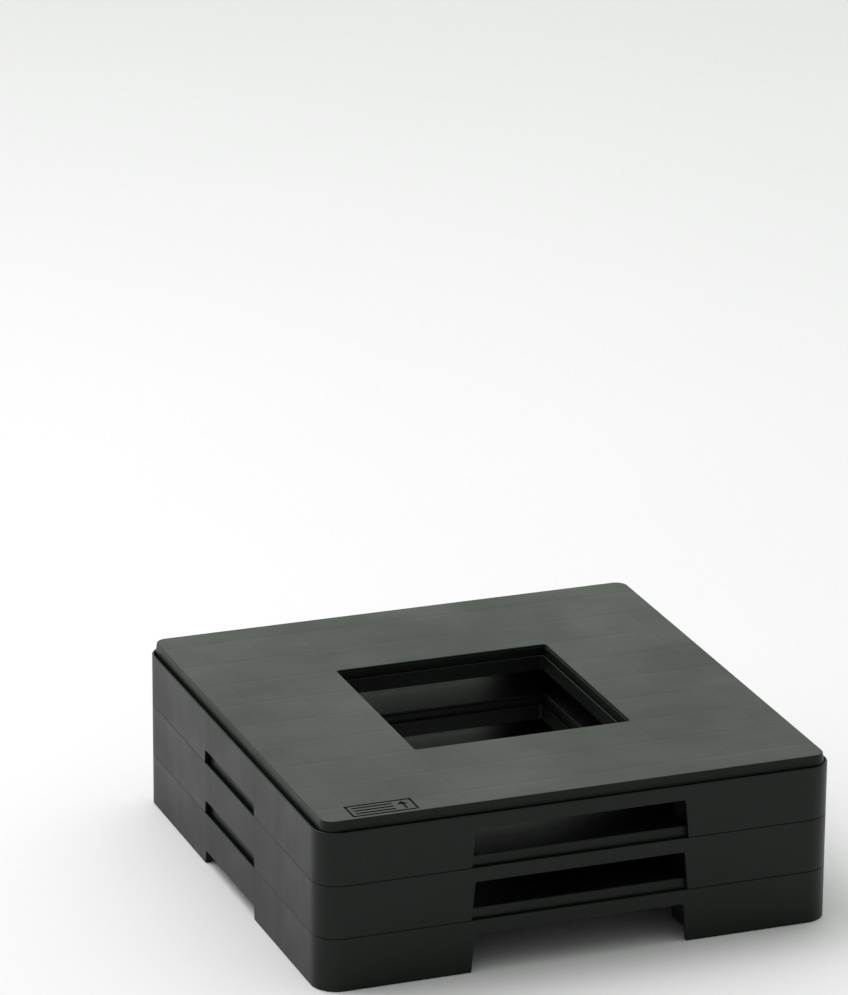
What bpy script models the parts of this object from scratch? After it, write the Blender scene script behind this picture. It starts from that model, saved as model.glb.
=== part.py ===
"""Three-tier stackable monitor riser: three identical moulded trays that nest into one stack.

The row frame has +Z up, +X to the user's right and +Y away from the user. Its origin is the
centre of the stack's footprint on the desk. All sizes are metres.

Each tray is one injection moulding: a raised deck with a square centre hole, a narrow groove
round the deck, a skirt with a tall arch at the front and back and a low arch at each side,
and stiffening ribs and hollow legs underneath. The skirt of one tray sits on the rim round
the deck of the tray below it. Thin rubber strips under the front and back legs grip the desk.
"""

import math

import bmesh
import bpy
from mathutils import Matrix, Vector

MM = 0.001

# Outer size of a tray.
WIDTH = 330.2 * MM
SKIRT_TOP = 33.7 * MM
DECK_TOP = 40.0 * MM
PITCH = SKIRT_TOP

# The skirt, and the rim on its top edge.
SKIRT_FLOOR = 0.3 * MM
SKIRT_WALL = 3.0 * MM
OUTER_RADIUS = 16.0 * MM
RIM_WIDTH = 1.2 * MM

# The deck that stands up inside the rim, and the groove between the two. The deck's inset and
# radius are those of its foot: its sides lean inwards from there to its top.
DECK_INSET = 3.4 * MM
DECK_RADIUS = 9.0 * MM
DECK_LEAN = 0.8 * MM
DECK_CHAMFER = 0.4 * MM
DECK_THICKNESS = 2.8 * MM
DECK_WALL = 2.5 * MM
GROOVE_FLOOR = 30.7 * MM
WEB_THICKNESS = 2.5 * MM

# The square hole through the deck, with a lower rim and a flange round it.
HOLE_HALF = 70.3 * MM
HOLE_RADIUS = 2.0 * MM
FLANGE_HALF = 67.5 * MM
FLANGE_WALL = 2.4 * MM
HOLE_RIM_WIDTH = 0.8 * MM

# The ribs under the deck.
RIB_PITCH = 35.3 * MM
RIB_COUNT = 9
RIB_THICKNESS = 2.4 * MM
RIB_FLOOR = 24.0 * MM

# The walls that close the legs. They stop above the deck of the tray below.
LEG_FLOOR = 6.7 * MM
LEG_START = 2
LEG_END = 4

# The arches in the skirt: half widths at the desk and at the crown, and the crown's height.
TALL_ARCH = (69.5 * MM, 67.1 * MM, 24.6 * MM)
LOW_ARCH = (47.0 * MM, 46.0 * MM, 8.9 * MM)

# The rubber strips under the legs, each held behind a thin outer lip.
STRIP_LENGTH = 60.0 * MM
STRIP_WIDTH = 1.6 * MM
STRIP_HEIGHT = 1.2 * MM
STRIP_END_ROUND = 0.7 * MM
STRIP_INSET = 1.2 * MM
STRIP_CENTRE = 110.0 * MM
SEAT_GAP = 0.3 * MM

# The plain pictogram pressed into the deck near its front left corner: a frame round three
# bars, one above the other, and an arrow that points up the stack. The bars and the arrow are
# measured from the middle of the frame.
BADGE_CENTRE = Vector((-121.0 * MM, -149.5 * MM))
BADGE_SIZE = Vector((42.0 * MM, 17.0 * MM))
BADGE_DEPTH = 0.9 * MM
BADGE_LINE = 1.6 * MM
BAR_LEFT = -17.4 * MM
BAR_RIGHT = 7.8 * MM
BAR_PITCH = 4.0 * MM
ARROW_TIP = Vector((13.8 * MM, 5.5 * MM))
ARROW_HEAD_HALF = 3.6 * MM
ARROW_HEAD_HEIGHT = 4.2 * MM
ARROW_SHAFT_HALF = 1.2 * MM
ARROW_FOOT = -5.5 * MM

CORNER_SEGMENTS = 6
SHARP_ANGLE = math.radians(35)
PAST = 4.0 * MM
EMBED = 1.3 * MM

TIERS = ("base", "middle", "top")
PLASTIC = (0.012, 0.013, 0.012)
PLASTIC_ROUGHNESS = 0.45
RUBBER = (0.02, 0.02, 0.02)
RUBBER_ROUGHNESS = 0.8


def clear_scene():
    for old in list(bpy.data.objects):
        bpy.data.objects.remove(old, do_unlink=True)


def add_object(name, mesh, parent=None, location=(0.0, 0.0, 0.0)):
    """Put a mesh in the scene as one named object."""
    made = bpy.data.objects.new(name, mesh)
    bpy.context.scene.collection.objects.link(made)
    made.parent = parent
    made.location = location
    return made


def mesh_from(bm, name):
    """Turn a bmesh into a mesh with its faces pointing out."""
    bmesh.ops.recalc_face_normals(bm, faces=bm.faces)
    mesh = bpy.data.meshes.new(name)
    bm.to_mesh(mesh)
    bm.free()
    return mesh


def add_material(target, colour, roughness):
    """Give an object a Principled material of its own."""
    material = bpy.data.materials.new(target.name + "_finish")
    material.use_nodes = True
    shader = material.node_tree.nodes["Principled BSDF"]
    shader.inputs["Base Color"].default_value = (*colour, 1.0)
    shader.inputs["Roughness"].default_value = roughness
    shader.inputs["Metallic"].default_value = 0.0
    material.diffuse_color = (*colour, 1.0)
    target.data.materials.clear()
    target.data.materials.append(material)


def add_box(bm, low, high):
    """Add a closed box between two corners."""
    low, high = Vector(low), Vector(high)
    place = Matrix.Translation((low + high) / 2) @ Matrix.Diagonal((*(high - low), 1.0))
    bmesh.ops.create_cube(bm, size=1.0, matrix=place)


def add_ring(bm, loops):
    """Join each loop of vertices to the next, and the last to the first."""
    for first, second in zip(loops, loops[1:] + loops[:1]):
        for index, vertex in enumerate(first):
            following = (index + 1) % len(first)
            bm.faces.new((vertex, first[following], second[following], second[index]))


def add_prism(bm, outline, along):
    """Add a closed prism: a flat outline of points, extruded along a vector."""
    face = bm.faces.new([bm.verts.new(point) for point in outline])
    made = bmesh.ops.extrude_face_region(bm, geom=[face])["geom"]
    moved = [item for item in made if isinstance(item, bmesh.types.BMVert)]
    bmesh.ops.translate(bm, verts=moved, vec=along)


# ---------------------------------------------------------------- the tray's outer shell

def rounded_square(bm, half, radius, z):
    """One loop of vertices round a square with rounded corners."""
    loop = []
    for quarter in range(4):
        corner = math.radians(45 + 90 * quarter)
        centre = Vector((math.copysign(half - radius, math.cos(corner)),
                         math.copysign(half - radius, math.sin(corner)), z))
        for step in range(CORNER_SEGMENTS + 1):
            angle = math.radians(90 * quarter) + math.radians(90) * step / CORNER_SEGMENTS
            arm = Vector((math.cos(angle), math.sin(angle), 0.0)) * radius
            loop.append(bm.verts.new(centre + arm))
    return loop


def tray_section():
    """The tray's cross-section, as (half size, corner radius, height) of each loop in turn."""
    half = WIDTH / 2
    web_underside = GROOVE_FLOOR - WEB_THICKNESS
    deck_underside = DECK_TOP - DECK_THICKNESS
    deck_half = half - DECK_INSET
    edge_half = deck_half - DECK_LEAN
    edge_radius = DECK_RADIUS - DECK_LEAN
    deck_inside = deck_half - DECK_WALL
    inner_radius = DECK_RADIUS - DECK_WALL
    chamfer = DECK_CHAMFER
    rim_half = half - RIM_WIDTH
    hole_wall = HOLE_HALF + DECK_WALL
    hole_rim = FLANGE_HALF + HOLE_RIM_WIDTH
    flange_back = FLANGE_HALF + FLANGE_WALL
    skirt_inside = half - SKIRT_WALL
    return [
        (half, OUTER_RADIUS, SKIRT_FLOOR),
        (half, OUTER_RADIUS, SKIRT_TOP),
        (rim_half, OUTER_RADIUS - RIM_WIDTH, SKIRT_TOP),
        (rim_half, OUTER_RADIUS - RIM_WIDTH, GROOVE_FLOOR),
        (deck_half, DECK_RADIUS, GROOVE_FLOOR),
        (edge_half, edge_radius, DECK_TOP - chamfer),
        (edge_half - chamfer, edge_radius - chamfer, DECK_TOP),
        (HOLE_HALF + chamfer, HOLE_RADIUS + chamfer, DECK_TOP),
        (HOLE_HALF, HOLE_RADIUS, DECK_TOP - chamfer),
        (HOLE_HALF, HOLE_RADIUS, GROOVE_FLOOR),
        (hole_rim, HOLE_RADIUS, GROOVE_FLOOR),
        (hole_rim, HOLE_RADIUS, SKIRT_TOP),
        (FLANGE_HALF, HOLE_RADIUS, SKIRT_TOP),
        (FLANGE_HALF, HOLE_RADIUS, RIB_FLOOR),
        (flange_back, HOLE_RADIUS, RIB_FLOOR),
        (flange_back, HOLE_RADIUS, web_underside),
        (hole_wall, HOLE_RADIUS, web_underside),
        (hole_wall, HOLE_RADIUS, deck_underside),
        (deck_inside, inner_radius, deck_underside),
        (deck_inside, inner_radius, web_underside),
        (skirt_inside, DECK_RADIUS, web_underside),
        (skirt_inside, DECK_RADIUS, SKIRT_FLOOR),
    ]


def shell_mesh():
    """Sweep the closed cross-section round the square, which leaves the centre hole open."""
    bm = bmesh.new()
    add_ring(bm, [rounded_square(bm, *point) for point in tray_section()])
    return mesh_from(bm, "tray_shell")


# ---------------------------------------------------------------- ribs and leg walls

def rib_centres():
    middle = (RIB_COUNT - 1) / 2
    return [(index - middle) * RIB_PITCH for index in range(RIB_COUNT)]


def on_rib(position, centres):
    return any(abs(position - centre) < RIB_THICKNESS / 2 for centre in centres)


def is_leg_wall(x, y):
    """True for a wall that closes a leg, seen in plan and folded into one quarter."""
    near, far = sorted((abs(x), abs(y)))
    reach = RIB_THICKNESS / 2
    start, end = LEG_START * RIB_PITCH, LEG_END * RIB_PITCH
    along = on_rib(far, [end]) and start - reach < near < end + reach
    across = on_rib(near, [start]) and far > end - reach
    return along or across


def rib_cell_filled(x, y, z):
    """True where the ribs and leg walls hold plastic."""
    centres = rib_centres()
    near, far = sorted((abs(x), abs(y)))
    hole = LEG_START * RIB_PITCH - RIB_THICKNESS / 2
    if z < RIB_FLOOR:
        return is_leg_wall(x, y)
    if z > GROOVE_FLOOR - EMBED and far > WIDTH / 2 - DECK_INSET - EMBED:
        return False
    ribbed = on_rib(x, centres) or on_rib(y, centres)
    return ribbed and far > hole


def grid_lines():
    """The planes that bound every rib, in one direction of the plan."""
    edges = [c + side * RIB_THICKNESS / 2 for c in rib_centres() for side in (-1, 1)]
    ends = [WIDTH / 2 - SKIRT_WALL / 2, WIDTH / 2 - DECK_INSET - EMBED]
    return sorted(edges + ends + [-end for end in ends])


def lattice_mesh():
    """One closed solid of all ribs and leg walls, made from the filled cells of a grid."""
    plan = grid_lines()
    heights = [LEG_FLOOR, RIB_FLOOR, GROOVE_FLOOR - EMBED, DECK_TOP - DECK_THICKNESS / 2]
    lines = (plan, plan, heights)
    sizes = [len(line) - 1 for line in lines]

    def filled(cell):
        if any(not 0 <= cell[axis] < sizes[axis] for axis in range(3)):
            return False
        centre = [(lines[axis][cell[axis]] + lines[axis][cell[axis] + 1]) / 2 for axis in range(3)]
        return rib_cell_filled(*centre)

    bm = bmesh.new()
    corners = {}

    def corner(key):
        if key not in corners:
            corners[key] = bm.verts.new([lines[axis][key[axis]] for axis in range(3)])
        return corners[key]

    cells = [(i, j, k) for i in range(sizes[0]) for j in range(sizes[1]) for k in range(sizes[2])]
    for cell in filter(filled, cells):
        for axis in range(3):
            for side in (0, 1):
                neighbour = list(cell)
                neighbour[axis] += 2 * side - 1
                if filled(neighbour):
                    continue
                first, second = [other for other in range(3) if other != axis]
                keys = []
                for a, b in ((0, 0), (1, 0), (1, 1), (0, 1)):
                    key = list(cell)
                    key[axis] += side
                    key[first] += a
                    key[second] += b
                    keys.append(tuple(key))
                bm.faces.new([corner(key) for key in keys])
    bmesh.ops.recalc_face_normals(bm, faces=bm.faces)
    bmesh.ops.dissolve_limit(bm, angle_limit=math.radians(1), verts=bm.verts, edges=bm.edges)
    return mesh_from(bm, "tray_ribs")


# ---------------------------------------------------------------- what is cut out of a tray

def add_arch_cutters(bm):
    """The four openings in the skirt, each wider at the desk than at its crown."""
    front = -WIDTH / 2 - PAST
    through_the_wall = Vector((0.0, PAST + SKIRT_WALL + PAST, 0.0))
    for quarter, arch in enumerate((TALL_ARCH, LOW_ARCH, TALL_ARCH, LOW_ARCH)):
        foot, crown, height = arch
        slope = (foot - crown) / height
        turn = Matrix.Rotation(math.radians(90 * quarter), 4, "Z")
        low = foot + slope * PAST
        outline = [(-low, front, -PAST), (low, front, -PAST),
                   (crown, front, height), (-crown, front, height)]
        add_prism(bm, [turn @ Vector(point) for point in outline], turn @ through_the_wall)


def add_strip_seats(bm):
    """The seats for the rubber strips, open at the bottom and towards the inside."""
    reach = STRIP_LENGTH / 2 + SEAT_GAP
    outer = WIDTH / 2 - STRIP_INSET + SEAT_GAP
    inner = WIDTH / 2 - SKIRT_WALL - SEAT_GAP
    for centre in (-STRIP_CENTRE, STRIP_CENTRE):
        for near, far in ((-outer, -inner), (inner, outer)):
            add_box(bm, (centre - reach, near, -PAST),
                    (centre + reach, far, STRIP_HEIGHT + SEAT_GAP))


def add_badge_cutters(bm):
    """The frame, the three bars and the arrow, as closed solids that reach into the deck."""
    floor, top = DECK_TOP - BADGE_DEPTH, DECK_TOP + PAST
    half = BADGE_SIZE / 2
    corners = [Vector(corner) for corner in ((-1, -1), (1, -1), (1, 1), (-1, 1))]

    def rectangle(inset, z):
        size = half - Vector((inset, inset))
        return [bm.verts.new((*(BADGE_CENTRE + corner * size), z)) for corner in corners]

    add_ring(bm, [rectangle(*loop) for loop in
                  ((0.0, floor), (0.0, top), (BADGE_LINE, top), (BADGE_LINE, floor))])
    for row in (-1, 0, 1):
        low = BADGE_CENTRE + Vector((BAR_LEFT, row * BAR_PITCH - BADGE_LINE / 2))
        high = BADGE_CENTRE + Vector((BAR_RIGHT, row * BAR_PITCH + BADGE_LINE / 2))
        add_box(bm, (*low, floor), (*high, top))
    shoulder = ARROW_TIP.y - ARROW_HEAD_HEIGHT
    right = [(ARROW_HEAD_HALF, shoulder), (ARROW_SHAFT_HALF, shoulder),
             (ARROW_SHAFT_HALF, ARROW_FOOT)]
    outline = [(0.0, ARROW_TIP.y)] + right + [(-x, y) for x, y in reversed(right)]
    middle = BADGE_CENTRE + Vector((ARROW_TIP.x, 0.0))
    add_prism(bm, [(middle.x + x, middle.y + y, floor) for x, y in outline],
              Vector((0.0, 0.0, top - floor)))


def cutter_mesh():
    """All that is cut from a tray, as separate closed solids in one mesh."""
    bm = bmesh.new()
    add_arch_cutters(bm)
    add_strip_seats(bm)
    add_badge_cutters(bm)
    return mesh_from(bm, "tray_openings")


def tray_mesh():
    """Join the shell and the ribs, cut the openings, and return the finished mesh."""
    tray = add_object("tray_blank", shell_mesh())
    tools = []
    for operation, mesh in (("UNION", lattice_mesh()), ("DIFFERENCE", cutter_mesh())):
        tool = add_object(mesh.name, mesh)
        tool.hide_render = True
        tool.display_type = "WIRE"
        tools.append(tool)
        boolean = tray.modifiers.new(mesh.name, "BOOLEAN")
        boolean.operation = operation
        boolean.solver = "EXACT"
        boolean.object = tool
    finished = tray.evaluated_get(bpy.context.evaluated_depsgraph_get())
    mesh = bpy.data.meshes.new_from_object(finished)
    mesh.name = "tray"
    for tool in tools + [tray]:
        bpy.data.objects.remove(tool, do_unlink=True)
    mesh.shade_smooth()
    mesh.set_sharp_from_angle(angle=SHARP_ANGLE)
    return mesh


# ---------------------------------------------------------------- the rubber strips

def strip_mesh():
    """A flat rubber strip with rounded ends, lying along X."""
    bm = bmesh.new()
    add_box(bm, (-STRIP_LENGTH / 2, -STRIP_WIDTH / 2, 0.0),
            (STRIP_LENGTH / 2, STRIP_WIDTH / 2, STRIP_HEIGHT))
    upright = [edge for edge in bm.edges if edge.verts[0].co.z != edge.verts[1].co.z]
    bmesh.ops.bevel(bm, geom=upright, offset=STRIP_END_ROUND, segments=3, affect="EDGES")
    mesh = mesh_from(bm, "grip_strip")
    mesh.shade_smooth()
    mesh.set_sharp_from_angle(angle=SHARP_ANGLE)
    return mesh


def add_strips(tier_name, tier):
    """Four strips on one tier: left and right, at the front and at the back."""
    row = WIDTH / 2 - STRIP_INSET - STRIP_WIDTH / 2
    for end_name, end in (("front", -1), ("back", 1)):
        for side_name, side in (("left", -1), ("right", 1)):
            name = f"{tier_name}_grip_{end_name}_{side_name}"
            strip = add_object(name, strip_mesh(), tier, (side * STRIP_CENTRE, end * row, 0.0))
            add_material(strip, RUBBER, RUBBER_ROUGHNESS)


# ---------------------------------------------------------------- the stack

def build_riser():
    """Stack the tiers. Each tier's empty carries its tray and strips, and is what lifts."""
    tray = tray_mesh()
    for level, tier_name in enumerate(TIERS):
        tier = add_object(tier_name + "_tier", None, location=(0.0, 0.0, level * PITCH))
        body = add_object(tier_name + "_tray", tray.copy(), tier)
        add_material(body, PLASTIC, PLASTIC_ROUGHNESS)
        add_strips(tier_name, tier)


clear_scene()
build_riser()
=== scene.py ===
"""Looks of the stackable monitor riser: detailed trays, grip strips, floor, light and camera.

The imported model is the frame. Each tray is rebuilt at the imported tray's outer size, with rounded
edges, drafted ribs, sink marks over the ribs and the small marks that its mould leaves, and it
rides on its own tier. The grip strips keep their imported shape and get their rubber. All lengths
are metres.
"""

import math

import bmesh
import bpy
from mathutils import Matrix, Vector


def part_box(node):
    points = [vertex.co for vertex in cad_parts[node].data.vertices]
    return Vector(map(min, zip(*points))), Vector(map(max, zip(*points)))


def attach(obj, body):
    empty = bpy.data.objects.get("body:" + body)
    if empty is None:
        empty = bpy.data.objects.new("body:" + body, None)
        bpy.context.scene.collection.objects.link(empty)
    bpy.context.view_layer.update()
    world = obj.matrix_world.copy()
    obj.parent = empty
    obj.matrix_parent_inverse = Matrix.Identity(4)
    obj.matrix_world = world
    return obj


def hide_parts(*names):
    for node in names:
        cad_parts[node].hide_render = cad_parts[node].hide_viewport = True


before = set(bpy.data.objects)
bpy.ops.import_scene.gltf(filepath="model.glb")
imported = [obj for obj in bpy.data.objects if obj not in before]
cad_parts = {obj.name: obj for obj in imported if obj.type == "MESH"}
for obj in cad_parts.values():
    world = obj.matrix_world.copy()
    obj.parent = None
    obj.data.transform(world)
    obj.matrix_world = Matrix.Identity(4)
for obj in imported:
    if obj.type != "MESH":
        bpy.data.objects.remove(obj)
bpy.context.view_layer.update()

MM = 0.001
TIERS = ("base", "middle", "top")

# What the frame gives.
BASE_LOW, BASE_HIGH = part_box("base_tray")
HALF = BASE_HIGH.x
SKIRT_FLOOR = BASE_LOW.z
DECK_TOP = BASE_HIGH.z

# The skirt, its rim, and the groove between the rim and the deck. The deck's inset and radius are
# those of its foot: its sides lean inwards from there to its top. The foot stands 0.4 mm further
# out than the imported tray's, which narrows the groove.
SKIRT_TOP = 33.7 * MM
SKIRT_WALL = 3.0 * MM
OUTER_RADIUS = 16.0 * MM
RIM_WIDTH = 1.2 * MM
DECK_INSET = 3.0 * MM
DECK_RADIUS = 9.0 * MM
DECK_LEAN = 1.2 * MM
DECK_EDGE = 0.6 * MM
DECK_THICKNESS = 2.8 * MM
DECK_WALL = 2.5 * MM
GROOVE_FLOOR = 30.7 * MM
WEB_THICKNESS = 2.5 * MM

# The square hole, with a lower rim and a flange round it.
HOLE_HALF = 70.3 * MM
HOLE_RADIUS = 2.0 * MM
HOLE_EDGE = 0.6 * MM
FLANGE_HALF = 67.5 * MM
FLANGE_WALL = 2.4 * MM
HOLE_RIM_WIDTH = 0.8 * MM

# The ribs and the legs' inner walls, thinner at their lower edges.
RIB_PITCH = 35.3 * MM
RIB_COUNT = 9
RIB_THICKNESS = 2.4 * MM
RIB_DRAFT = 0.2 * MM
RIB_ROUND = 0.35 * MM
RIB_FLOOR = 24.0 * MM
LEG_FLOOR = 6.7 * MM
LEG_START = 2
LEG_END = 4

# The arches in the skirt: half widths at the desk and at the crown, and the crown's height.
TALL_ARCH = (69.5 * MM, 67.1 * MM, 24.6 * MM)
LOW_ARCH = (47.0 * MM, 46.0 * MM, 8.9 * MM)
ARCH_CORNER = 1.2 * MM

# The rubber strips and their seats.
STRIP_LENGTH = 60.0 * MM
STRIP_HEIGHT = 1.2 * MM
STRIP_INSET = 1.2 * MM
STRIP_CENTRE = 110.0 * MM
SEAT_GAP = 0.3 * MM

# The plain pictogram pressed into the deck: a frame, three bars and an arrow.
BADGE_CENTRE = Vector((-121.0 * MM, -149.5 * MM))
BADGE_SIZE = Vector((42.0 * MM, 17.0 * MM))
BADGE_DEPTH = 0.9 * MM
BADGE_LINE = 1.6 * MM
BAR_LEFT = -17.4 * MM
BAR_RIGHT = 7.8 * MM
BAR_PITCH = 4.0 * MM
ARROW_TIP = Vector((13.8 * MM, 5.5 * MM))
ARROW_HEAD_HALF = 3.6 * MM
ARROW_HEAD_HEIGHT = 4.2 * MM
ARROW_SHAFT_HALF = 1.2 * MM
ARROW_FOOT = -5.5 * MM

# Marks of the mould: the dip in the deck over each rib, and ejector pin marks under the deck.
SINK_HALF = 3.2 * MM
SINK_DEPTH = 0.06 * MM
SINK_STEPS = 3
PIN_RADIUS = 3.0 * MM
PIN_DEPTH = 0.15 * MM

# How far the moulding's edges are rounded.
SKIRT_ROUND = 0.35 * MM
RIM_OUTER_ROUND = 0.45 * MM
RIM_INNER_ROUND = 0.25 * MM
GROOVE_ROUND = 0.3 * MM
HOLE_LEDGE_ROUND = 0.25 * MM
HOLE_RIM_ROUND = 0.2 * MM
FLANGE_TOP_ROUND = 0.3 * MM
FLANGE_FOOT_ROUND = 0.4 * MM
FLANGE_BACK_ROUND = 0.3 * MM

# How finely shapes are made, and by how much cutters and joined solids pass each other.
CORNER_STEPS = 8
FILLET_STEPS = 3
PIN_SEGMENTS = 20
SHARP_ANGLE = math.radians(38)
ROUNDED_ANGLE = math.radians(50)
FLAT_ANGLE = math.radians(0.5)
CORNER_CLEARANCE = 0.1 * MM
MERGE_DISTANCE = 0.001 * MM
TOUCH = 0.01 * MM
PAST = 4.0 * MM
PAST_WALL = 0.5 * MM
EMBED = 1.3 * MM

# Each noise below is given by its features per metre and its detail. Most of its values lie
# between NOISE_LOW and NOISE_HIGH.
NOISE_LOW = 0.3
NOISE_HIGH = 0.7

# The black plastic.
PLASTIC_TINTS = (0.0034, 0.0040, 0.0036), (0.0054, 0.0062, 0.0057)
PLASTIC_SHEEN_TINT = (0.90, 1.0, 0.91, 1.0)
PLASTIC_IOR = 1.33
PLASTIC_ROUGHNESS = (0.35, 0.47)
PLASTIC_CLOUDS = (13.0, 4.0)
PLASTIC_STREAKS = (22.0, 3.0)
STREAK_STRETCH = (1.0, 4.0, 1.0)
STREAK_SHARE = 0.25
PATCHY_RANGE = (0.45, 0.80)
PLASTIC_GRAIN = (1500.0, 2.0)
PLASTIC_FINE_GRAIN = (4200.0, 1.0)
FINE_GRAIN_SHARE = 0.35
PLASTIC_GRAIN_DEPTH = 0.012 * MM

# The rubber of the grip strips.
RUBBER_TINTS = (0.012, 0.012, 0.012), (0.020, 0.020, 0.019)
RUBBER_ROUGHNESS = (0.72, 0.88)
RUBBER_CLOUDS = (120.0, 3.0)
RUBBER_GRAIN = (2600.0, 2.0)
RUBBER_GRAIN_DEPTH = 0.02 * MM

# The studio: a pale floor, one soft light overhead, and a world that is brighter at the back.
FLOOR_SIZE = 6.0
FLOOR_CELLS = 8
FLOOR_TINTS = (0.81, 0.77, 0.81), (0.83, 0.79, 0.83)
FLOOR_CLOUDS = (3.0, 2.0)
FLOOR_ROUGHNESS = 0.9
FLOOR_SPECULAR = 0.1
SOFTBOX_PLACE = (-0.9, 0.7, 2.4)
SOFTBOX_SIZE = 1.8
SOFTBOX_POWER = 35.0
WORLD_TINT = (0.92, 1.0, 0.92, 1.0)
WORLD_BRIGHT_SIDE = Vector((0.15, 0.85, 0.45)).normalized()
WORLD_LEVELS = (0.32, 1.38)
WORLD_FACING_RANGE = (-0.30, 0.95)

# The camera: a long lens, low and from the front left. It stands DISTANCE from the point AIM,
# which is above the nested stack, because the trays lift towards it.
AIM = Vector((-21.3 * MM, 46.9 * MM, 224.1 * MM))
DISTANCE = 3.4766
AZIMUTH = math.radians(20.69)
ELEVATION = math.radians(19.265)
ROLL = math.radians(0.36)
LENS = 203.65
CLIP_END = 30.0


# ---------------------------------------------------------------- mesh helpers

def add_object(name, mesh):
    """Put a mesh in the scene as one named object."""
    made = bpy.data.objects.new(name, mesh)
    bpy.context.scene.collection.objects.link(made)
    return made


def mesh_from(bm, name):
    """Turn a bmesh into a mesh with its faces pointing out."""
    bmesh.ops.recalc_face_normals(bm, faces=bm.faces)
    mesh = bpy.data.meshes.new(name)
    bm.to_mesh(mesh)
    bm.free()
    return mesh


def add_box(bm, low, high):
    """Add a closed box between two corners."""
    low, high = Vector(low), Vector(high)
    place = Matrix.Translation((low + high) / 2) @ Matrix.Diagonal((*(high - low), 1.0))
    bmesh.ops.create_cube(bm, size=1.0, matrix=place)


def bridge(bm, first, second):
    """Join two closed loops of equally many vertices with quads."""
    for index, vertex in enumerate(first):
        following = (index + 1) % len(first)
        bm.faces.new((vertex, first[following], second[following], second[index]))


def add_prism(bm, outline, along):
    """Add a closed prism: a flat outline of points, extruded along a vector."""
    near = [bm.verts.new(point) for point in outline]
    far = [bm.verts.new(Vector(point) + along) for point in outline]
    bm.faces.new(near)
    bm.faces.new(far[::-1])
    bridge(bm, near, far)


# ---------------------------------------------------------------- the tray's outer shell

def rib_centres():
    """Where the ribs stand, in one direction of the plan."""
    middle = (RIB_COUNT - 1) / 2
    return [(index - middle) * RIB_PITCH for index in range(RIB_COUNT)]


def sink(position):
    """How far the deck dips over the ribs that run across one direction, from 0 to 1."""
    offset = min(abs(position - centre) for centre in rib_centres())
    return 0.5 + 0.5 * math.cos(math.pi * offset / SINK_HALF) if offset < SINK_HALF else 0.0


def deck_lines():
    """The lines of the deck's grid in one direction: some over each rib, two at each hole edge."""
    dips = [centre + SINK_HALF * step / SINK_STEPS
            for centre in rib_centres() for step in range(-SINK_STEPS, SINK_STEPS + 1)]
    hole = (HOLE_HALF - HOLE_RADIUS, HOLE_HALF + HOLE_EDGE)
    return sorted(dips + [side * line for line in hole for side in (-1, 1)])


def fillet(before, corner, after, radius):
    """Points round one right-angled corner of the section. A point is (half, radius, height)."""
    if radius == 0.0:
        return [corner]
    arms = []
    for end in (before, after):
        arm = Vector(end) - Vector(corner)
        arms.append(arm * (radius / math.hypot(arm[0], arm[2])))
    points = []
    for step in range(FILLET_STEPS + 1):
        angle = math.radians(90) * step / FILLET_STEPS
        points.append(Vector(corner) + arms[0] * (1 - math.sin(angle))
                      + arms[1] * (1 - math.cos(angle)))
    return points


def rounded_section(corners):
    """The section's points, from corners given as (half, plan radius, height, fillet)."""
    points = [corners[0][:3]]
    for before, corner, after in zip(corners, corners[1:], corners[2:]):
        points += fillet(before[:3], corner[:3], after[:3], corner[3])
    return points + [corners[-1][:3]]


def outer_section():
    """From under the deck, down inside the skirt, up outside it and over the deck's edge."""
    web_underside = GROOVE_FLOOR - WEB_THICKNESS
    deck_half = HALF - DECK_INSET
    edge_half = deck_half - DECK_LEAN
    edge_radius = DECK_RADIUS - DECK_LEAN
    deck_inside = deck_half - DECK_WALL
    inner_radius = DECK_RADIUS - DECK_WALL
    rim_half = HALF - RIM_WIDTH
    rim_radius = OUTER_RADIUS - RIM_WIDTH
    skirt_inside = HALF - SKIRT_WALL
    points = rounded_section([
        (deck_inside, inner_radius, DECK_TOP - DECK_THICKNESS, 0.0),
        (deck_inside, inner_radius, web_underside, 0.0),
        (skirt_inside, DECK_RADIUS, web_underside, 0.0),
        (skirt_inside, DECK_RADIUS, SKIRT_FLOOR, 0.0),
        (HALF, OUTER_RADIUS, SKIRT_FLOOR, 0.0),
        (HALF, OUTER_RADIUS, SKIRT_TOP, RIM_OUTER_ROUND),
        (rim_half, rim_radius, SKIRT_TOP, RIM_INNER_ROUND),
        (rim_half, rim_radius, GROOVE_FLOOR, GROOVE_ROUND),
        (deck_half, DECK_RADIUS, GROOVE_FLOOR, GROOVE_ROUND),
        (edge_half, edge_radius, DECK_TOP, DECK_EDGE),
        (edge_half - edge_radius, 0.0, DECK_TOP, 0.0),
    ])
    return points[:-1]


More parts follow.
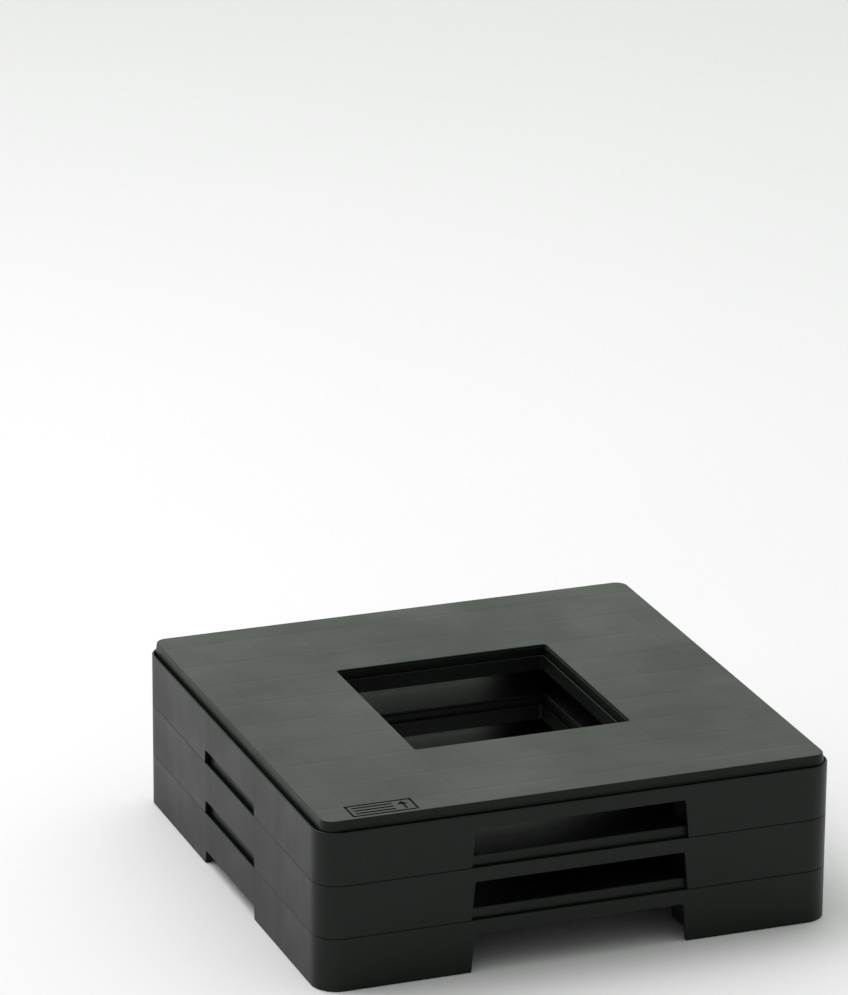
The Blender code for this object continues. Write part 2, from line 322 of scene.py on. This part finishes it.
def inner_section():
    """From the deck's edge at the hole, down the hole, and back up to under the deck."""
    web_underside = GROOVE_FLOOR - WEB_THICKNESS
    hole_wall = HOLE_HALF + DECK_WALL
    hole_rim = FLANGE_HALF + HOLE_RIM_WIDTH
    flange_back = FLANGE_HALF + FLANGE_WALL
    points = rounded_section([
        (hole_wall, HOLE_RADIUS + DECK_WALL, DECK_TOP, 0.0),
        (HOLE_HALF, HOLE_RADIUS, DECK_TOP, HOLE_EDGE),
        (HOLE_HALF, HOLE_RADIUS, GROOVE_FLOOR, HOLE_LEDGE_ROUND),
        (hole_rim, HOLE_RADIUS, GROOVE_FLOOR, HOLE_RIM_ROUND),
        (hole_rim, HOLE_RADIUS, SKIRT_TOP, HOLE_RIM_ROUND),
        (FLANGE_HALF, HOLE_RADIUS, SKIRT_TOP, FLANGE_TOP_ROUND),
        (FLANGE_HALF, HOLE_RADIUS, RIB_FLOOR, FLANGE_FOOT_ROUND),
        (flange_back, HOLE_RADIUS, RIB_FLOOR, FLANGE_BACK_ROUND),
        (flange_back, HOLE_RADIUS, web_underside, 0.0),
        (hole_wall, HOLE_RADIUS, web_underside, 0.0),
        (hole_wall, HOLE_RADIUS, DECK_TOP - DECK_THICKNESS, 0.0),
    ])
    return points[1:]


def quarter_turn(quarter, x, y):
    """A point of the plan, turned by a number of quarters about the middle."""
    for _ in range(quarter):
        x, y = -y, x
    return x, y


def square_loop(bm, point, lines):
    """Vertices round a square with rounded corners, its straight sides cut at the lines."""
    half, radius, z = point
    middle = half - radius
    plan = []
    for step in range(CORNER_STEPS + 1):
        angle = math.radians(90) * step / CORNER_STEPS
        plan.append((middle + radius * math.cos(angle), middle + radius * math.sin(angle)))
    limit = middle - CORNER_CLEARANCE
    plan += [(max(-limit, min(limit, line)), half) for line in reversed(lines)]
    return [bm.verts.new((*quarter_turn(quarter, x, y), z)) for quarter in range(4)
            for x, y in plan]


def fill_deck(bm, outer, inner, lines):
    """The deck between its outer loop and the hole's loop: a grid with a dip over each rib."""
    hole, hole_arc = HOLE_HALF + HOLE_EDGE, HOLE_HALF - HOLE_RADIUS
    edge = HALF - DECK_INSET - DECK_LEAN - DECK_EDGE
    edge_arc = HALF - DECK_INSET - DECK_RADIUS
    known = {}

    def key(x, y):
        return round(x / TOUCH), round(y / TOUCH)

    for vertex in outer + inner:
        known[key(*vertex.co.xy)] = vertex

    def place(x, y):
        if key(x, y) not in known:
            beside_hole = max(abs(x), abs(y)) < hole + TOUCH
            dip = 0.0 if beside_hole else SINK_DEPTH * max(sink(x), sink(y))
            known[key(x, y)] = bm.verts.new((x, y, DECK_TOP - dip))
        return known[key(x, y)]

    steps = [-edge, -edge_arc] + lines + [edge_arc, edge]
    for x0, x1 in zip(steps, steps[1:]):
        for y0, y1 in zip(steps, steps[1:]):
            near, far = sorted((abs(x0 + x1) / 2, abs(y0 + y1) / 2))
            if far > hole and near < edge_arc:
                bm.faces.new([place(x, y) for x, y in ((x0, y0), (x1, y0), (x1, y1), (x0, y1))])
    beside = [line for line in lines if hole_arc + TOUCH < line < hole - TOUCH]
    hole_corner = ([(line, hole) for line in beside] + [(hole, hole)]
                   + [(hole, line) for line in reversed(beside)])
    for loop, tip in ((outer, [(edge_arc, edge_arc)]), (inner, hole_corner)):
        per_side = len(loop) // 4
        for quarter in range(4):
            arc = loop[quarter * per_side:quarter * per_side + CORNER_STEPS + 1]
            bm.faces.new(arc + [place(*quarter_turn(quarter, x, y)) for x, y in tip])


def fill_underside(bm, outer, inner):
    """Close the underside of the deck with one flat face for each side of the square."""
    for quarter in range(4):
        sides = []
        for loop in (outer, inner):
            per_side = len(loop) // 4
            start = quarter * per_side + CORNER_STEPS // 2
            sides.append([loop[(start + step) % len(loop)] for step in range(per_side + 1)])
        bm.faces.new(sides[0] + sides[1][::-1])


def shell_mesh():
    """The deck, groove, rim, skirt and flange as one closed surface round the hole."""
    bm = bmesh.new()
    lines = deck_lines()
    beside_hole = [line for line in lines if abs(line) < HOLE_HALF - HOLE_RADIUS - TOUCH]
    outer = [square_loop(bm, point, lines) for point in outer_section()]
    inner = [square_loop(bm, point, beside_hole) for point in inner_section()]
    for loops in (outer, inner):
        for first, second in zip(loops, loops[1:]):
            bridge(bm, first, second)
    fill_deck(bm, outer[-1], inner[0], lines)
    fill_underside(bm, outer[0], inner[-1])
    return mesh_from(bm, "tray_shell")


# ---------------------------------------------------------------- ribs and leg walls

def on_rib(position, centres):
    """True within the thickness of one of the ribs."""
    return any(abs(position - centre) < RIB_THICKNESS / 2 for centre in centres)


def is_leg_wall(x, y):
    """True for a wall that closes a leg, seen in plan and folded into one quarter."""
    near, far = sorted((abs(x), abs(y)))
    reach = RIB_THICKNESS / 2
    start, end = LEG_START * RIB_PITCH, LEG_END * RIB_PITCH
    along = on_rib(far, [end]) and start - reach < near < end + reach
    across = on_rib(near, [start]) and far > end - reach
    return along or across


def rib_cell_filled(x, y, z):
    """True where the ribs and leg walls hold plastic."""
    centres = rib_centres()
    far = max(abs(x), abs(y))
    if z < RIB_FLOOR:
        return is_leg_wall(x, y)
    if z > GROOVE_FLOOR - EMBED and far > HALF - DECK_INSET - EMBED:
        return False
    beyond_hole = far > LEG_START * RIB_PITCH - RIB_THICKNESS / 2
    return beyond_hole and (on_rib(x, centres) or on_rib(y, centres))


def rib_lines():
    """The planes that bound every rib, in one direction of the plan."""
    edges = [c + side * RIB_THICKNESS / 2 for c in rib_centres() for side in (-1, 1)]
    ends = [HALF - SKIRT_WALL / 2, HALF - DECK_INSET - EMBED]
    return sorted(edges + ends + [-end for end in ends])


def drafted(position, draft):
    """Move a rib's side towards the rib's middle by the draft."""
    for centre in rib_centres():
        offset = position - centre
        if abs(abs(offset) - RIB_THICKNESS / 2) < TOUCH:
            return centre + math.copysign(abs(offset) - draft, offset)
    return position


def lattice_mesh():
    """One closed solid of all ribs and leg walls, made from the filled cells of a grid."""
    plan = rib_lines()
    top = DECK_TOP - DECK_THICKNESS / 2
    lines = (plan, plan, [LEG_FLOOR, RIB_FLOOR, GROOVE_FLOOR - EMBED, top])
    sizes = [len(line) - 1 for line in lines]

    def filled(cell):
        if any(not 0 <= cell[axis] < sizes[axis] for axis in range(3)):
            return False
        return rib_cell_filled(*((lines[axis][cell[axis]] + lines[axis][cell[axis] + 1]) / 2
                                 for axis in range(3)))

    bm = bmesh.new()
    corners = {}

    def corner(key):
        if key not in corners:
            x, y, z = (lines[axis][key[axis]] for axis in range(3))
            draft = RIB_DRAFT * (top - z) / (top - RIB_FLOOR)
            corners[key] = bm.verts.new((drafted(x, draft), drafted(y, draft), z))
        return corners[key]

    cells = [(i, j, k) for i in range(sizes[0]) for j in range(sizes[1]) for k in range(sizes[2])]
    for cell in filter(filled, cells):
        for axis in range(3):
            for side in (0, 1):
                neighbour = list(cell)
                neighbour[axis] += 2 * side - 1
                if filled(neighbour):
                    continue
                first, second = [other for other in range(3) if other != axis]
                keys = []
                for a, b in ((0, 0), (1, 0), (1, 1), (0, 1)):
                    key = list(cell)
                    key[axis] += side
                    key[first] += a
                    key[second] += b
                    keys.append(tuple(key))
                bm.faces.new([corner(key) for key in keys])
    bmesh.ops.recalc_face_normals(bm, faces=bm.faces)
    bmesh.ops.dissolve_limit(bm, angle_limit=FLAT_ANGLE, verts=bm.verts, edges=bm.edges)
    lower = [edge for edge in bm.edges if edge.is_convex and edge.is_manifold
             and all(abs(v.co.z - RIB_FLOOR) < TOUCH for v in edge.verts)
             or all(abs(v.co.z - LEG_FLOOR) < TOUCH for v in edge.verts)]
    bmesh.ops.bevel(bm, geom=lower, offset=RIB_ROUND, segments=2, profile=0.5, affect="EDGES")
    bmesh.ops.triangulate(bm, faces=bm.faces)
    return mesh_from(bm, "tray_ribs")


# ---------------------------------------------------------------- what is cut out of a tray

def rounded_outline(points, radius):
    """A flat outline with each corner rounded by a short curve."""
    rounded = []
    count = len(points)
    for index, point in enumerate(points):
        point = Vector(point)
        before, after = Vector(points[index - 1]), Vector(points[(index + 1) % count])
        start = point + (before - point).normalized() * radius
        end = point + (after - point).normalized() * radius
        for step in range(FILLET_STEPS + 1):
            t = step / FILLET_STEPS
            rounded.append(start * (1 - t) ** 2 + point * 2 * t * (1 - t) + end * t ** 2)
    return rounded


def add_arch_cutters(bm):
    """The four openings in the skirt, each wider at the desk than at its crown."""
    front = -HALF - PAST
    through_the_wall = Vector((0.0, PAST + SKIRT_WALL + PAST_WALL, 0.0))
    for quarter, arch in enumerate((TALL_ARCH, LOW_ARCH, TALL_ARCH, LOW_ARCH)):
        foot, crown, height = arch
        low = foot + (foot - crown) / height * PAST
        turn = Matrix.Rotation(math.radians(90 * quarter), 4, "Z")
        outline = rounded_outline([(-low, front, -PAST), (low, front, -PAST),
                                   (crown, front, height), (-crown, front, height)], ARCH_CORNER)
        add_prism(bm, [turn @ point for point in outline], turn @ through_the_wall)


def add_strip_seats(bm):
    """The seats for the rubber strips, open at the bottom and towards the inside."""
    reach = STRIP_LENGTH / 2 + SEAT_GAP
    outer = HALF - STRIP_INSET + SEAT_GAP
    inner = HALF - SKIRT_WALL - SEAT_GAP
    for centre in (-STRIP_CENTRE, STRIP_CENTRE):
        for near, far in ((-outer, -inner), (inner, outer)):
            add_box(bm, (centre - reach, near, -PAST),
                    (centre + reach, far, STRIP_HEIGHT + SEAT_GAP))


def add_badge_cutters(bm):
    """The frame, the three bars and the arrow, as closed solids that reach into the deck."""
    floor, top = DECK_TOP - BADGE_DEPTH, DECK_TOP + PAST
    half = BADGE_SIZE / 2
    corners = [Vector(corner) for corner in ((-1, -1), (1, -1), (1, 1), (-1, 1))]

    def rectangle(inset, z):
        size = half - Vector((inset, inset))
        return [bm.verts.new((*(BADGE_CENTRE + corner * size), z)) for corner in corners]

    frame_loops = [rectangle(*loop) for loop in
                   ((0.0, floor), (0.0, top), (BADGE_LINE, top), (BADGE_LINE, floor))]
    for first, second in zip(frame_loops, frame_loops[1:] + frame_loops[:1]):
        bridge(bm, first, second)
    for row in (-1, 0, 1):
        low = BADGE_CENTRE + Vector((BAR_LEFT, row * BAR_PITCH - BADGE_LINE / 2))
        high = BADGE_CENTRE + Vector((BAR_RIGHT, row * BAR_PITCH + BADGE_LINE / 2))
        add_box(bm, (*low, floor), (*high, top))
    shoulder = ARROW_TIP.y - ARROW_HEAD_HEIGHT
    right = [(ARROW_HEAD_HALF, shoulder), (ARROW_SHAFT_HALF, shoulder),
             (ARROW_SHAFT_HALF, ARROW_FOOT)]
    outline = [(0.0, ARROW_TIP.y)] + right + [(-x, y) for x, y in reversed(right)]
    middle = BADGE_CENTRE + Vector((ARROW_TIP.x, 0.0))
    add_prism(bm, [(middle.x + x, middle.y + y, floor) for x, y in outline],
              Vector((0.0, 0.0, top - floor)))


def add_pin_marks(bm):
    """Shallow round dips under the deck, in every other cell between the ribs."""
    underside = DECK_TOP - DECK_THICKNESS
    cells = range(-LEG_END, LEG_END)
    for i in cells:
        for j in cells:
            x, y = (i + 0.5) * RIB_PITCH, (j + 0.5) * RIB_PITCH
            if (i + j) % 2 or max(abs(x), abs(y)) < HOLE_HALF:
                continue
            middle = Matrix.Translation((x, y, underside + PIN_DEPTH - PAST / 2))
            bmesh.ops.create_cone(bm, cap_ends=True, segments=PIN_SEGMENTS, radius1=PIN_RADIUS,
                                  radius2=PIN_RADIUS, depth=PAST, matrix=middle)


def cutter_mesh():
    """All that is cut from a tray, as separate closed solids in one mesh."""
    bm = bmesh.new()
    add_arch_cutters(bm)
    add_strip_seats(bm)
    add_badge_cutters(bm)
    add_pin_marks(bm)
    return mesh_from(bm, "tray_openings")


def distance_to_square(point, half, radius):
    """How far a point's plan position lies outside a square with rounded corners."""
    x, y = abs(point.x) - (half - radius), abs(point.y) - (half - radius)
    if x > 0.0 and y > 0.0:
        return math.hypot(x, y) - radius
    return max(abs(point.x), abs(point.y)) - half


def skirt_edges(bm):
    """The sharp outer and inner edges of the skirt's foot and of its arches."""
    seat_top = STRIP_HEIGHT + 2 * SEAT_GAP
    chosen = []
    for edge in bm.edges:
        if not edge.is_manifold or not edge.is_convex:
            continue
        if edge.calc_face_angle(0.0) < ROUNDED_ANGLE:
            continue
        points = [vertex.co for vertex in edge.verts]
        if max(point.z for point in points) > TALL_ARCH[2] + TOUCH:
            continue
        outer = all(abs(distance_to_square(p, HALF, OUTER_RADIUS)) < TOUCH for p in points)
        inner = all(abs(distance_to_square(p, HALF - SKIRT_WALL, DECK_RADIUS)) < TOUCH
                    for p in points)
        by_a_strip = all(abs(p.y) > HALF - SKIRT_WALL - TOUCH and p.z < seat_top
                         and abs(abs(p.x) - STRIP_CENTRE) < STRIP_LENGTH / 2 + SEAT_GAP + TOUCH
                         for p in points)
        if outer or inner and not by_a_strip:
            chosen.append(edge)
    return chosen


def tray_mesh():
    """Join the shell and the ribs, cut the openings and round the skirt's edges."""
    blank = add_object("tray_blank", shell_mesh())
    tools = []
    for operation, mesh in (("UNION", lattice_mesh()), ("DIFFERENCE", cutter_mesh())):
        tool = add_object(mesh.name, mesh)
        tools.append(tool)
        boolean = blank.modifiers.new(mesh.name, "BOOLEAN")
        boolean.operation = operation
        boolean.solver = "EXACT"
        boolean.object = tool
    finished = blank.evaluated_get(bpy.context.evaluated_depsgraph_get())
    bm = bmesh.new()
    bm.from_mesh(finished.to_mesh())
    for tool in tools + [blank]:
        bpy.data.objects.remove(tool, do_unlink=True)
    bmesh.ops.remove_doubles(bm, verts=bm.verts, dist=MERGE_DISTANCE)
    bmesh.ops.bevel(bm, geom=skirt_edges(bm), offset=SKIRT_ROUND, segments=2, profile=0.5,
                    affect="EDGES", clamp_overlap=True)
    mesh = mesh_from(bm, "tray_surface")
    mesh.shade_smooth()
    mesh.set_sharp_from_angle(angle=SHARP_ANGLE)
    return mesh


# ---------------------------------------------------------------- materials

def new_material(name):
    """A node material with its Principled shader and object coordinates."""
    material = bpy.data.materials.new(name)
    material.use_nodes = True
    tree = material.node_tree
    shader = tree.nodes["Principled BSDF"]
    coordinates = tree.nodes.new("ShaderNodeTexCoord").outputs["Object"]
    return material, tree, shader, coordinates


def noise(tree, coordinates, scale, detail, stretch=(1.0, 1.0, 1.0)):
    """Procedural noise, in features per metre, stretched along an axis if asked."""
    mapping = tree.nodes.new("ShaderNodeMapping")
    mapping.inputs["Scale"].default_value = stretch
    texture = tree.nodes.new("ShaderNodeTexNoise")
    texture.inputs["Scale"].default_value = scale
    texture.inputs["Detail"].default_value = detail
    tree.links.new(coordinates, mapping.inputs["Vector"])
    tree.links.new(mapping.outputs["Vector"], texture.inputs["Vector"])
    return texture.outputs["Fac"]


def spread(tree, value, low, high, from_low=NOISE_LOW, from_high=NOISE_HIGH):
    """Map a noise value to a range."""
    node = tree.nodes.new("ShaderNodeMapRange")
    node.inputs["From Min"].default_value = from_low
    node.inputs["From Max"].default_value = from_high
    node.inputs["To Min"].default_value = low
    node.inputs["To Max"].default_value = high
    tree.links.new(value, node.inputs["Value"])
    return node.outputs["Result"]


def blend_colours(tree, factor, first, second):
    """A colour between two, by a factor that varies over the surface."""
    node = tree.nodes.new("ShaderNodeMix")
    node.data_type = "RGBA"
    colours = [socket for socket in node.inputs if socket.type == "RGBA"]
    colours[0].default_value = (*first, 1.0)
    colours[1].default_value = (*second, 1.0)
    tree.links.new(factor, node.inputs["Factor"])
    return next(socket for socket in node.outputs if socket.type == "RGBA")


def add_values(tree, first, second, share):
    """first + share * second."""
    node = tree.nodes.new("ShaderNodeMath")
    node.operation = "MULTIPLY_ADD"
    node.inputs[1].default_value = share
    tree.links.new(second, node.inputs[0])
    tree.links.new(first, node.inputs[2])
    return node.outputs[0]


def set_bump(tree, shader, height, depth):
    """Relief of a real depth in metres."""
    bump = tree.nodes.new("ShaderNodeBump")
    bump.inputs["Strength"].default_value = 1.0
    bump.inputs["Distance"].default_value = depth
    tree.links.new(height, bump.inputs["Height"])
    tree.links.new(bump.outputs["Normal"], shader.inputs["Normal"])


def plastic_material():
    """Black moulded plastic: spark-eroded grain, and a sheen that clouds and streaks a little."""
    material, tree, shader, coordinates = new_material("black_moulded_plastic")
    clouds = noise(tree, coordinates, *PLASTIC_CLOUDS)
    streaks = noise(tree, coordinates, *PLASTIC_STREAKS, STREAK_STRETCH)
    grain = noise(tree, coordinates, *PLASTIC_GRAIN)
    fine = noise(tree, coordinates, *PLASTIC_FINE_GRAIN)
    patchy = add_values(tree, clouds, streaks, STREAK_SHARE)
    tree.links.new(spread(tree, patchy, *PLASTIC_ROUGHNESS, *PATCHY_RANGE),
                   shader.inputs["Roughness"])
    tree.links.new(blend_colours(tree, spread(tree, clouds, 0.0, 1.0), *PLASTIC_TINTS),
                   shader.inputs["Base Color"])
    set_bump(tree, shader, add_values(tree, grain, fine, FINE_GRAIN_SHARE), PLASTIC_GRAIN_DEPTH)
    shader.inputs["IOR"].default_value = PLASTIC_IOR
    shader.inputs["Specular Tint"].default_value = PLASTIC_SHEEN_TINT
    return material


def rubber_material():
    """Matt black rubber with a fine grain."""
    material, tree, shader, coordinates = new_material("matt_rubber")
    grain = noise(tree, coordinates, *RUBBER_GRAIN)
    clouds = noise(tree, coordinates, *RUBBER_CLOUDS)
    tree.links.new(spread(tree, clouds, *RUBBER_ROUGHNESS), shader.inputs["Roughness"])
    tree.links.new(blend_colours(tree, spread(tree, clouds, 0.0, 1.0), *RUBBER_TINTS),
                   shader.inputs["Base Color"])
    set_bump(tree, shader, grain, RUBBER_GRAIN_DEPTH)
    return material


# ---------------------------------------------------------------- floor, light and camera

def add_floor():
    """A pale matt floor, which is not part of the object."""
    bm = bmesh.new()
    bmesh.ops.create_grid(bm, x_segments=FLOOR_CELLS, y_segments=FLOOR_CELLS, size=FLOOR_SIZE)
    floor = add_object("studio_floor", mesh_from(bm, "studio_floor"))
    material, tree, shader, coordinates = new_material("pale_floor")
    clouds = noise(tree, coordinates, *FLOOR_CLOUDS)
    tree.links.new(blend_colours(tree, clouds, *FLOOR_TINTS), shader.inputs["Base Color"])
    shader.inputs["Roughness"].default_value = FLOOR_ROUGHNESS
    shader.inputs["Specular IOR Level"].default_value = FLOOR_SPECULAR
    floor.data.materials.append(material)


def add_area_light(name, place, size, power):
    """A square soft light that faces the stack."""
    light = bpy.data.lights.new(name, "AREA")
    light.size = size
    light.energy = power
    lamp = bpy.data.objects.new(name, light)
    lamp.location = place
    lamp.rotation_euler = (-Vector(place)).to_track_quat("-Z", "Y").to_euler()
    bpy.context.scene.collection.objects.link(lamp)


def add_world():
    """An even studio, bright behind the stack and dim in front of it."""
    world = bpy.data.worlds.new("studio")
    world.use_nodes = True
    tree = world.node_tree
    direction = tree.nodes.new("ShaderNodeTexCoord").outputs["Generated"]
    facing = tree.nodes.new("ShaderNodeVectorMath")
    facing.operation = "DOT_PRODUCT"
    facing.inputs[1].default_value = WORLD_BRIGHT_SIDE
    tree.links.new(direction, facing.inputs[0])
    level = spread(tree, facing.outputs["Value"], *WORLD_LEVELS, *WORLD_FACING_RANGE)
    tree.nodes["Background"].inputs["Color"].default_value = WORLD_TINT
    tree.links.new(level, tree.nodes["Background"].inputs["Strength"])
    bpy.context.scene.world = world


def add_camera():
    """A camera that looks along the azimuth and elevation, with the photograph's slight roll."""
    right = Vector((math.cos(AZIMUTH), -math.sin(AZIMUTH), 0.0))
    back = Vector((-math.sin(AZIMUTH) * math.cos(ELEVATION),
                   -math.cos(AZIMUTH) * math.cos(ELEVATION), math.sin(ELEVATION)))
    up = back.cross(right)
    axes = Matrix((right, up, back)).transposed().to_4x4()
    data = bpy.data.cameras.new("camera")
    data.lens = LENS
    camera = bpy.data.objects.new("camera", data)
    camera.matrix_world = (Matrix.Translation(AIM + back * DISTANCE) @ axes
                           @ Matrix.Rotation(ROLL, 4, "Z"))
    data.clip_end = CLIP_END
    bpy.context.scene.collection.objects.link(camera)
    bpy.context.scene.camera = camera


# ---------------------------------------------------------------- the stack

def dress_grips(material):
    """Give every packed grip strip the rubber. Its shape stays as it is packed."""
    for name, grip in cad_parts.items():
        if "_grip_" in name:
            grip.data.materials.clear()
            grip.data.materials.append(material)


def add_trays(material):
    """One detailed tray for each tier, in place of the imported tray."""
    surface = tray_mesh()
    surface.materials.append(material)
    for tier in TIERS:
        tray = add_object(tier + "_tray_moulding", surface)
        tray.location.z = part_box(tier + "_tray")[0].z - SKIRT_FLOOR
        weighted = tray.modifiers.new("even_shading", "WEIGHTED_NORMAL")
        weighted.keep_sharp = True
        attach(tray, tier + "_tier")
        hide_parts(tier + "_tray")


add_camera()
add_world()
add_floor()
add_area_light("overhead_softbox", SOFTBOX_PLACE, SOFTBOX_SIZE, SOFTBOX_POWER)
add_trays(plastic_material())
dress_grips(rubber_material())
bpy.context.scene.view_settings.view_transform = "Standard"
